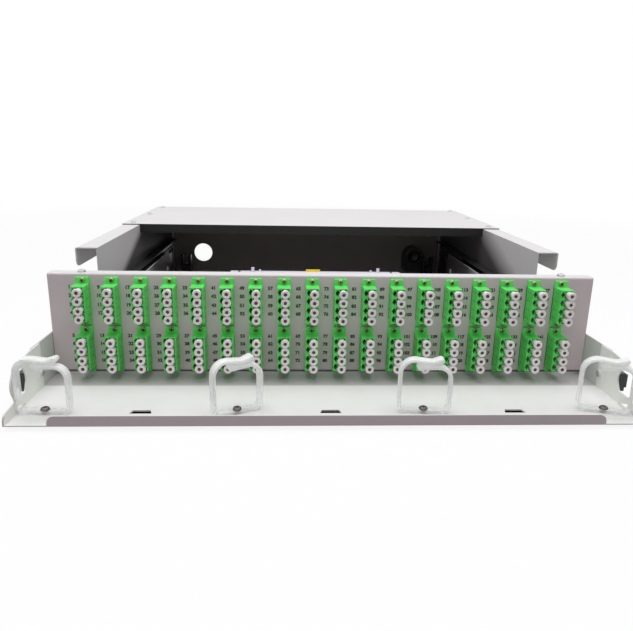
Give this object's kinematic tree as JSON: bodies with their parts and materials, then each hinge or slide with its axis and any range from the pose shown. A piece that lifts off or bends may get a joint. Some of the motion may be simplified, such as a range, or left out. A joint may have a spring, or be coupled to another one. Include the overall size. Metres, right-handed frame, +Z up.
{
  "type": "fibre optic patch panel",
  "caption": "Rack-mount fibre optic patch panel, a sheet steel case with a telescopic drawer that carries rows of green port adapters, cable rings and splice trays.",
  "frame": {"origin": "middle of the underside of the case's base", "axes": "+X to the right seen from the front, +Y to the back, +Z up"},
  "size_m": [0.42, 0.4993, 0.0902],
  "materials": {
    "white_paint": "fine satin powder coat",
    "black_steel": "satin black coating",
    "bright_steel": "bright drawn",
    "zinc_steel": "zinc plated",
    "brass": "plain",
    "green_plastic": "moulded, soft sheen",
    "white_cap": "soft moulded, slightly translucent",
    "ceramic": "polished",
    "splice_plastic": "moulded, soft sheen",
    "yellow_plastic": "moulded",
    "black_plastic": "moulded",
    "ring_plastic": "milky translucent"
  },
  "bodies": {
    "case": {"chassis_shell": "white_paint", "rear_wall": "white_paint", "top_cover": "white_paint", "case_screws": "zinc_steel", "cable_inlet": "black_plastic", "cable_anchors": "black_plastic", "slide_outer_left": "black_steel", "slide_outer_right": "black_steel"},
    "middle_slide_left": {"slide_middle_left": "black_steel", "slide_cages_left": "bright_steel"},
    "middle_slide_right": {"slide_middle_right": "black_steel", "slide_cages_right": "bright_steel"},
    "drawer": {"slide_inner_left": "black_steel", "slide_inner_right": "black_steel", "drawer_tray": "white_paint", "adapter_panel": "white_paint", "panel_brackets": "white_paint", "drawer_screws": "zinc_steel", "front_shelf": "white_paint", "ring_screws": "zinc_steel", "adapter_column_01": "green_plastic", "adapter_column_02": "green_plastic", "adapter_column_03": "green_plastic", "adapter_column_04": "green_plastic", "adapter_column_05": "green_plastic", "adapter_column_06": "green_plastic", "adapter_column_07": "green_plastic", "adapter_column_08": "green_plastic", "adapter_column_09": "green_plastic", "adapter_column_10": "green_plastic", "adapter_column_11": "green_plastic", "adapter_column_12": "green_plastic", "adapter_column_13": "green_plastic", "adapter_column_14": "green_plastic", "adapter_column_15": "green_plastic", "adapter_column_16": "green_plastic", "adapter_column_17": "green_plastic", "adapter_column_18": "green_plastic", "adapter_screws": "brass", "adapter_nuts": "brass", "dust_caps_upper": "white_cap", "dust_caps_lower": "white_cap", "dust_caps_rear": "white_cap", "alignment_sleeves": "ceramic", "splice_stand": "splice_plastic", "splice_tray_1": "splice_plastic", "splice_tray_2": "splice_plastic", "splice_tray_3": "splice_plastic", "splice_tray_4": "splice_plastic", "splice_lid": "splice_plastic", "splice_tag": "yellow_plastic", "latch_housings": "black_plastic", "latch_spring_left": "bright_steel", "latch_spring_right": "bright_steel"},
    "ring_1": {"cable_ring_1": "ring_plastic"},
    "ring_2": {"cable_ring_2": "ring_plastic"},
    "ring_3": {"cable_ring_3": "ring_plastic"},
    "ring_4": {"cable_ring_4": "ring_plastic"},
    "latch_left": {"latch_bolt_left": "black_plastic"},
    "latch_right": {"latch_bolt_right": "black_plastic"}
  },
  "joints": [
    {"name": "drawer_slide", "type": "slide", "parent": "case", "child": "drawer", "axis": [0, -1, 0], "range_m": [-0.0563, 0.16]},
    {"name": "middle_slide_left", "type": "slide", "parent": "case", "child": "middle_slide_left", "axis": [0, -1, 0], "range_m": [-0.02815, 0.08]},
    {"name": "middle_slide_right", "type": "slide", "parent": "case", "child": "middle_slide_right", "axis": [0, -1, 0], "range_m": [-0.02815, 0.08]},
    {"name": "ring_1_swivel", "type": "hinge", "parent": "drawer", "child": "ring_1", "pos_m": [-0.1828, -0.3068, 0.0035], "axis": [0, 0, 1], "range_deg": [-40, 40]},
    {"name": "ring_2_swivel", "type": "hinge", "parent": "drawer", "child": "ring_2", "pos_m": [-0.061, -0.3068, 0.0035], "axis": [0, 0, 1], "range_deg": [-40, 32]},
    {"name": "ring_3_swivel", "type": "hinge", "parent": "drawer", "child": "ring_3", "pos_m": [0.061, -0.3068, 0.0035], "axis": [0, 0, 1], "range_deg": [-40, 40]},
    {"name": "ring_4_swivel", "type": "hinge", "parent": "drawer", "child": "ring_4", "pos_m": [0.1828, -0.3068, 0.0035], "axis": [0, 0, 1], "range_deg": [-40, 40]},
    {"name": "latch_left_press", "type": "slide", "parent": "drawer", "child": "latch_left", "axis": [1, 0, 0], "range_m": [0, 0.0021], "stiffness_N_per_m": 300, "springref_m": -0.0015, "deforming": ["latch_spring_left"]},
    {"name": "latch_right_press", "type": "slide", "parent": "drawer", "child": "latch_right", "axis": [-1, 0, 0], "range_m": [0, 0.0021], "stiffness_N_per_m": 300, "springref_m": -0.0015, "deforming": ["latch_spring_right"]}
  ],
  "couplings": [
    {"joint": "middle_slide_left", "follows": "drawer_slide", "ratio": 0.5},
    {"joint": "middle_slide_right", "follows": "drawer_slide", "ratio": 0.5}
  ]
}
